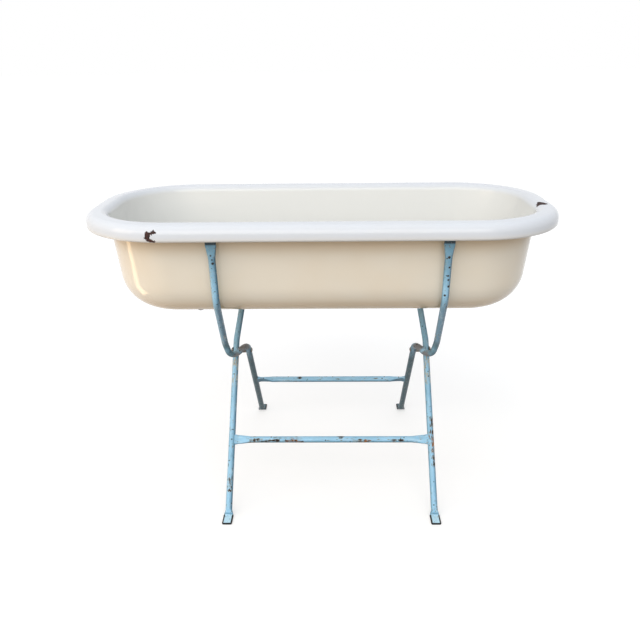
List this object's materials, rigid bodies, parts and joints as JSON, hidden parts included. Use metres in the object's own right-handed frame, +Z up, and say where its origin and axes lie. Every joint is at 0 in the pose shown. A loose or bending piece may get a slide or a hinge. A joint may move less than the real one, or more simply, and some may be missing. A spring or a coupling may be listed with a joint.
{
  "type": "enamel bathtub with stand",
  "caption": "Long oval enamelled steel baby bath with a rolled rim and a drain plug, resting on a folding scissor stand of bent painted tube with flattened feet.",
  "frame": {"origin": "on the floor, under the middle of the tub rim", "axes": "+X along the tub, drain at the -X end; +Y to the back, away from the viewer; +Z up"},
  "size_m": [0.922, 0.514, 0.6],
  "materials": {
    "enamel": "gloss vitreous enamel, white inside and cream outside",
    "blue_paint": "worn light blue gloss paint with chips and rust",
    "brass": "tarnished dark brass",
    "steel": "worn bare steel",
    "rubber": "matt black rubber"
  },
  "bodies": {
    "pivots": {"pivot_rivet_left": "steel", "pivot_rivet_right": "steel", "pivot_spacer_left": "steel", "pivot_spacer_right": "steel", "pivot_rove_left": "steel", "pivot_rove_right": "steel"},
    "front_foot_frame": {"front_foot_leg_left": "blue_paint", "front_foot_leg_right": "blue_paint", "front_stretcher": "blue_paint", "front_weld_left": "blue_paint", "front_weld_right": "blue_paint"},
    "rear_foot_frame": {"rear_foot_leg_left": "blue_paint", "rear_foot_leg_right": "blue_paint", "rear_stretcher": "blue_paint", "rear_weld_left": "blue_paint", "rear_weld_right": "blue_paint"},
    "tub": {"tub_shell": "enamel", "waste_body": "brass", "waste_upper_seal": "rubber", "waste_lower_seal": "rubber", "waste_washer": "steel", "waste_locknut": "brass"},
    "plug": {"drain_plug": "rubber"}
  },
  "joints": [
    {"name": "tub_lift", "type": "slide", "parent": "pivots", "child": "tub", "axis": [0, 0, 1], "range_m": [0, 1.2]},
    {"name": "front_foot_frame_fold", "type": "hinge", "parent": "pivots", "child": "front_foot_frame", "pos_m": [0.017, 0.025, 0.26], "axis": [1, 0, 0], "range_deg": [0, 34.4]},
    {"name": "rear_foot_frame_fold", "type": "hinge", "parent": "pivots", "child": "rear_foot_frame", "pos_m": [0.017, 0.025, 0.26], "axis": [-1, 0, 0], "range_deg": [0, 34.4]},
    {"name": "plug_pull", "type": "slide", "parent": "tub", "child": "plug", "axis": [0, 0, 1], "range_m": [0, 0.06]}
  ],
  "couplings": [
    {"joint": "front_foot_frame_fold", "follows": "tub_lift", "rad_per_m": 0.5},
    {"joint": "rear_foot_frame_fold", "follows": "tub_lift", "rad_per_m": 0.5}
  ]
}
